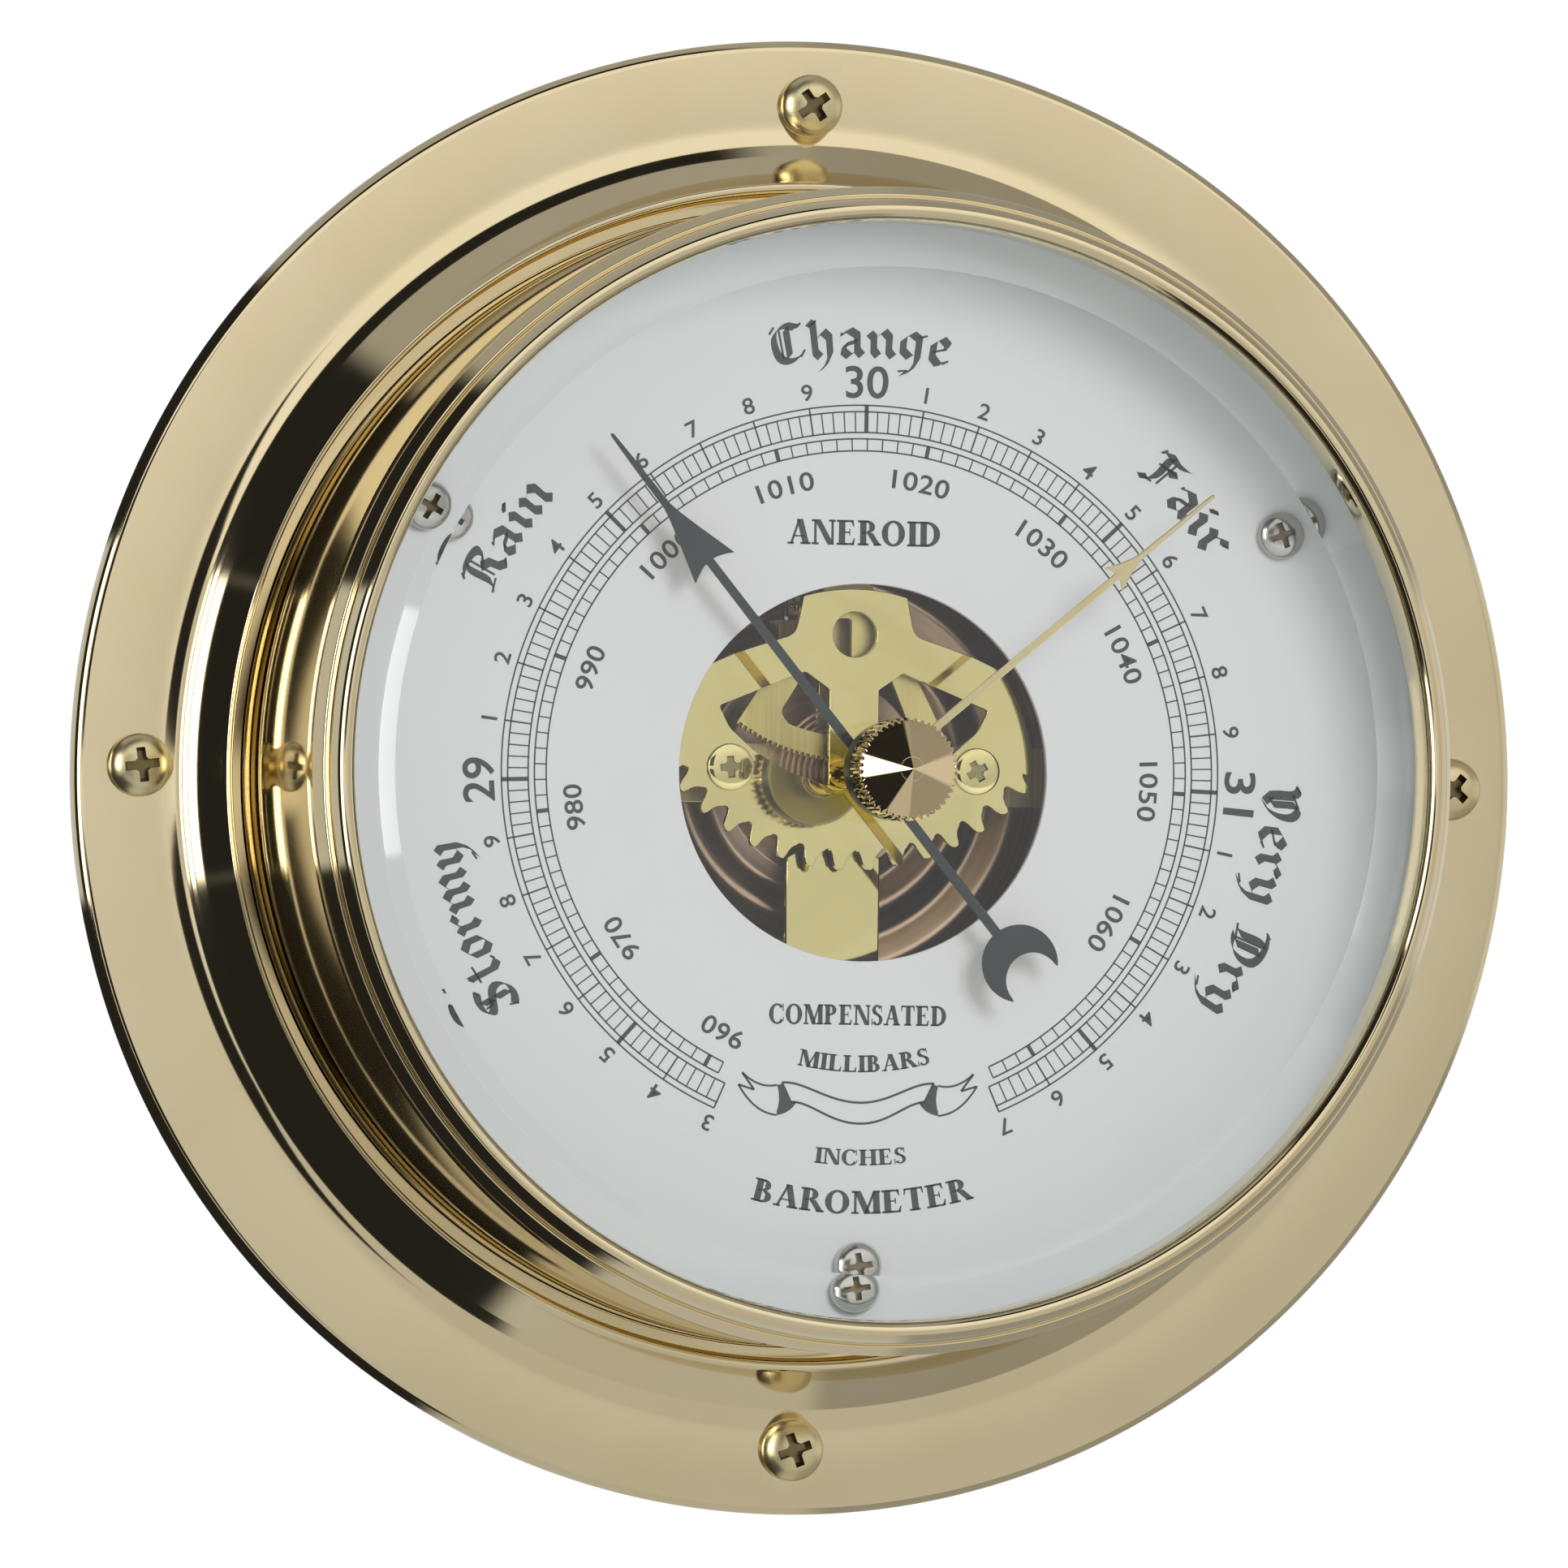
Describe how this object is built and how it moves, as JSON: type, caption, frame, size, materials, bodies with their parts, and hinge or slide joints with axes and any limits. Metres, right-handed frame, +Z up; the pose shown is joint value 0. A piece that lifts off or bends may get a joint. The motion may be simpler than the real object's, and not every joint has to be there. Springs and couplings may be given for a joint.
{
  "type": "ship barometer",
  "caption": "Round flanged brass aneroid barometer with bevelled glass, printed dial, pressure hand, adjustable set hand and open-view movement.",
  "frame": {"origin": "centre of the back plane, on the main axis", "axes": "-Y towards the viewer along the main axis, +Y into the wall, +Z up (Change at the top of the dial), +X to the viewer's right"},
  "size_m": [0.18, 0.0624, 0.18],
  "materials": {
    "black_paint": "matt black",
    "black_washer": "matt",
    "brushed_brass": "brushed",
    "capsule_copper": "dark copper, lacquered",
    "dark_bronze": "dark bronze",
    "dial_white": "satin white enamel with dark grey print",
    "glass": "clear, polished bevel",
    "hairspring_copper": "bright phosphor bronze",
    "knob_brass": "turned and polished",
    "plate_brass": "polished sheet",
    "polished_brass": "mirror polished, lacquered",
    "screw_brass": "polished",
    "steel": "nickel plated"
  },
  "bodies": {
    "housing": {"back_plate": "brushed_brass", "back_screw_1": "brushed_brass", "back_screw_2": "brushed_brass", "back_screw_3": "brushed_brass", "base_spacer_1": "brushed_brass", "base_spacer_2": "brushed_brass", "base_spacer_3": "brushed_brass", "bezel": "polished_brass", "bridge_screw_left": "steel", "bridge_screw_right": "steel", "capsule_lower": "capsule_copper", "capsule_upper": "capsule_copper", "case_body": "polished_brass", "dial": "dial_white", "dial_pillar_1": "brushed_brass", "dial_pillar_2": "brushed_brass", "dial_pillar_3": "brushed_brass", "dial_screw_1": "steel", "dial_screw_2": "steel", "dial_screw_3": "steel", "flange_screw_bottom": "screw_brass", "flange_screw_left": "screw_brass", "flange_screw_right": "screw_brass", "flange_screw_top": "screw_brass", "glass": "glass", "glass_gasket": "black_washer", "hairspring": "hairspring_copper", "hairspring_stud": "brushed_brass", "mounting_ring": "polished_brass", "movement_base": "dark_bronze", "movement_plate": "plate_brass", "movement_screw_1": "steel", "movement_screw_2": "steel", "movement_screw_3": "steel", "plate_pillar_left": "brushed_brass", "plate_pillar_right": "brushed_brass", "plate_screw_left": "screw_brass", "plate_screw_right": "screw_brass", "rehaut_ring": "dial_white", "rocker_bracket": "brushed_brass", "spring_screw_left": "steel", "spring_screw_right": "steel", "train_bridge": "brushed_brass"},
    "sector": {"sector_gear": "brushed_brass", "sector_arbor": "brushed_brass"},
    "hand": {"pinion_arbor": "steel", "hairspring_collet": "brushed_brass", "hand_collet": "brushed_brass", "pressure_hand": "black_paint"},
    "link": {"link_rod": "steel"},
    "rocker": {"rocker_shaft": "steel"},
    "spring": {"main_spring": "plate_brass"},
    "capsule_centre": {"capsule_post": "brushed_brass"},
    "setter": {"set_hand": "knob_brass", "set_knob": "knob_brass", "set_spindle": "brushed_brass", "knob_washer": "black_washer"},
    "adjuster": {"adjuster_screw": "steel"}
  },
  "joints": [
    {"name": "sector_rock", "type": "hinge", "parent": "housing", "child": "sector", "pos_m": [0, -0.0265, 0.025], "axis": [0, -1, 0], "range_deg": [-7.83, 13.05]},
    {"name": "hand_turn", "type": "hinge", "parent": "housing", "child": "hand", "pos_m": [0, -0.0398, 0], "axis": [0, -1, 0], "range_deg": [-195.8, 117.4]},
    {"name": "link_slide", "type": "slide", "parent": "housing", "child": "link", "axis": [1, 0, 0], "range_m": [-0.0007, 0.0012]},
    {"name": "rocker_rock", "type": "hinge", "parent": "housing", "child": "rocker", "pos_m": [-0.0055, -0.0175, 0.017], "axis": [0, 0, 1], "range_deg": [-5.41, 8.99]},
    {"name": "spring_flex", "type": "hinge", "parent": "housing", "child": "spring", "pos_m": [0, -0.0085, -0.033], "axis": [1, 0, 0], "range_deg": [-1.17, 0.71]},
    {"name": "capsule_lift", "type": "slide", "parent": "housing", "child": "capsule_centre", "axis": [0, -1, 0], "range_m": [-0.0007, 0.0004]},
    {"name": "set_hand_turn", "type": "hinge", "parent": "housing", "child": "setter", "pos_m": [0, -0.051, 0], "axis": [0, -1, 0], "continuous": true},
    {"name": "adjuster_turn", "type": "hinge", "parent": "housing", "child": "adjuster", "pos_m": [0, -0.004, -0.033], "axis": [0, 1, 0], "range_deg": [-180, 180]}
  ],
  "couplings": [
    {"joint": "hand_turn", "follows": "sector_rock", "ratio": -15},
    {"joint": "link_slide", "follows": "sector_rock", "m_per_rad": 0.005},
    {"joint": "rocker_rock", "follows": "sector_rock", "ratio": 0.6849},
    {"joint": "spring_flex", "follows": "sector_rock", "ratio": -0.08838},
    {"joint": "capsule_lift", "follows": "sector_rock", "m_per_rad": -0.002916}
  ]
}
